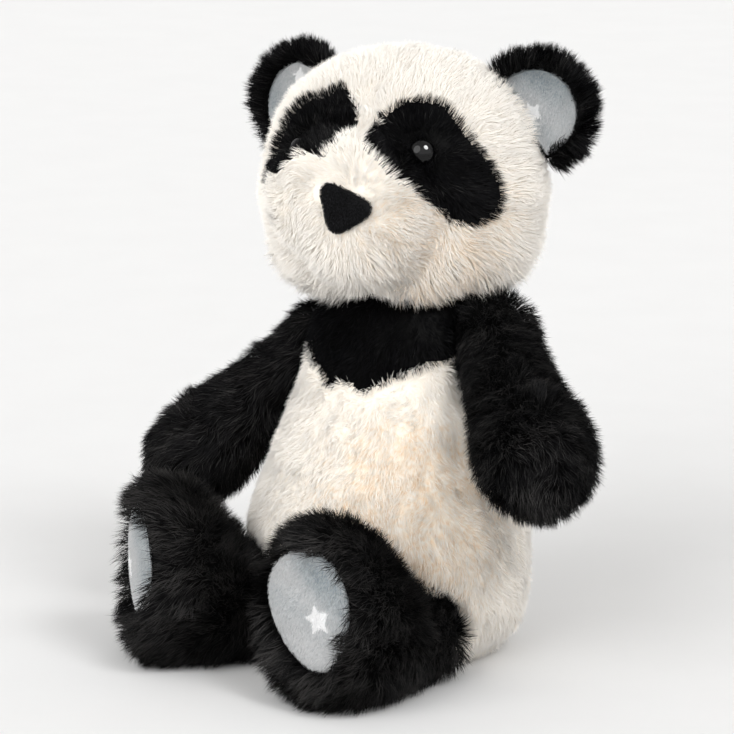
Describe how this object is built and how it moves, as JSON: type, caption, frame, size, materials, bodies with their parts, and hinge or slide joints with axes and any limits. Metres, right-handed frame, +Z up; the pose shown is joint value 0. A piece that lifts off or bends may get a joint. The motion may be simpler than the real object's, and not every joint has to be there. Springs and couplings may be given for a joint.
{
  "type": "plush panda",
  "caption": "Seated plush panda with cream and black fur, plastic safety eyes, grey velour soles and ear linings with a white star, and a soft stuffed body",
  "frame": {"origin": "middle of the flat seat panel, on the surface that the toy sits on", "axes": "+Z up from the seat to the head, -Y the way that the toy faces, +X to its own left"},
  "size_m": [0.2232, 0.1661, 0.2529],
  "materials": {
    "cream_fur": "long soft cream plush pile with warm tips",
    "black_fur": "long black plush pile with a faint sheen",
    "grey_velour": "short pale grey velour with brushed nap and a white star print",
    "black_velour": "short black fleece",
    "eye_plastic": "polished black plastic",
    "washer_plastic": "plain moulded plastic",
    "stuffing": "white fibre stuffing",
    "pellets": "plastic pellets in a thin cloth bag",
    "sewing_cord": "waxed sewing cord"
  },
  "bodies": {
    "torso": {"chest_yoke": "black_fur", "belly_panel": "cream_fur", "back_panel": "cream_fur", "seat_panel": "cream_fur", "body_filling": "stuffing", "pellet_bag": "pellets"},
    "neck": {"neck_seam": "sewing_cord"},
    "head": {"muzzle_panel": "cream_fur", "head_gusset": "cream_fur", "head_side_left": "cream_fur", "head_side_right": "cream_fur", "eye_patch_left": "black_fur", "eye_patch_right": "black_fur", "nose": "black_velour", "eye_left": "eye_plastic", "eye_right": "eye_plastic", "eye_washer_left": "washer_plastic", "eye_washer_right": "washer_plastic", "head_filling": "stuffing"},
    "ear_left": {"ear_back_left": "black_fur", "ear_lining_left": "grey_velour"},
    "shoulder_left": {"shoulder_seam_left": "sewing_cord"},
    "arm_left": {"arm_cover_left": "black_fur", "arm_filling_left": "stuffing"},
    "hip_left": {"hip_seam_left": "sewing_cord"},
    "leg_left": {"leg_cover_left": "black_fur", "leg_filling_left": "stuffing", "sole_pad_left": "grey_velour"},
    "ear_right": {"ear_back_right": "black_fur", "ear_lining_right": "grey_velour"},
    "shoulder_right": {"shoulder_seam_right": "sewing_cord"},
    "arm_right": {"arm_cover_right": "black_fur", "arm_filling_right": "stuffing"},
    "hip_right": {"hip_seam_right": "sewing_cord"},
    "leg_right": {"leg_cover_right": "black_fur", "leg_filling_right": "stuffing", "sole_pad_right": "grey_velour"}
  },
  "joints": [
    {"name": "neck_turn", "type": "hinge", "parent": "torso", "child": "neck", "pos_m": [0, 0.01, 0.125], "axis": [0, 0, 1], "range_deg": [-30, 30], "stiffness_Nm_per_rad": 0.4},
    {"name": "neck_nod", "type": "hinge", "parent": "neck", "child": "head", "pos_m": [0, 0.01, 0.125], "axis": [0.9877, 0.1564, 0], "range_deg": [-10, 12], "stiffness_Nm_per_rad": 0.6},
    {"name": "shoulder_swing_left", "type": "hinge", "parent": "torso", "child": "shoulder_left", "pos_m": [0.042, 0.01, 0.138], "axis": [0, 0, 1], "range_deg": [-20, 20], "stiffness_Nm_per_rad": 0.25},
    {"name": "shoulder_raise_left", "type": "hinge", "parent": "shoulder_left", "child": "arm_left", "pos_m": [0.042, 0.01, 0.138], "axis": [-0.682, -0.7314, 0], "range_deg": [-8, 35], "stiffness_Nm_per_rad": 0.25},
    {"name": "hip_swing_left", "type": "hinge", "parent": "torso", "child": "hip_left", "pos_m": [0.033, -0.037, 0.02], "axis": [0, 0, 1], "range_deg": [-12, 12], "stiffness_Nm_per_rad": 0.3},
    {"name": "hip_lift_left", "type": "hinge", "parent": "hip_left", "child": "leg_left", "pos_m": [0.033, -0.037, 0.02], "axis": [-0.9848, 0.1736, 0], "range_deg": [0, 15], "stiffness_Nm_per_rad": 0.3},
    {"name": "ear_fold_left", "type": "hinge", "parent": "head", "child": "ear_left", "pos_m": [0.04042, 0.03564, 0.22843], "axis": [0.5944, 0.0941, -0.7986], "range_deg": [-15, 30], "stiffness_Nm_per_rad": 0.03},
    {"name": "shoulder_swing_right", "type": "hinge", "parent": "torso", "child": "shoulder_right", "pos_m": [-0.042, 0.01, 0.126], "axis": [0, 0, -1], "range_deg": [-20, 20], "stiffness_Nm_per_rad": 0.25},
    {"name": "shoulder_raise_right", "type": "hinge", "parent": "shoulder_right", "child": "arm_right", "pos_m": [-0.042, 0.01, 0.126], "axis": [-0.4695, 0.8829, 0], "range_deg": [-8, 35], "stiffness_Nm_per_rad": 0.25},
    {"name": "hip_swing_right", "type": "hinge", "parent": "torso", "child": "hip_right", "pos_m": [-0.033, -0.037, 0.02], "axis": [0, 0, -1], "range_deg": [-12, 12], "stiffness_Nm_per_rad": 0.3},
    {"name": "hip_lift_right", "type": "hinge", "parent": "hip_right", "child": "leg_right", "pos_m": [-0.033, -0.037, 0.02], "axis": [-0.7314, 0.682, 0], "range_deg": [0, 15], "stiffness_Nm_per_rad": 0.3},
    {"name": "ear_fold_right", "type": "hinge", "parent": "head", "child": "ear_right", "pos_m": [-0.05956, 0.0198, 0.22312], "axis": [0.5087, 0.0806, 0.8572], "range_deg": [-15, 30], "stiffness_Nm_per_rad": 0.03}
  ]
}
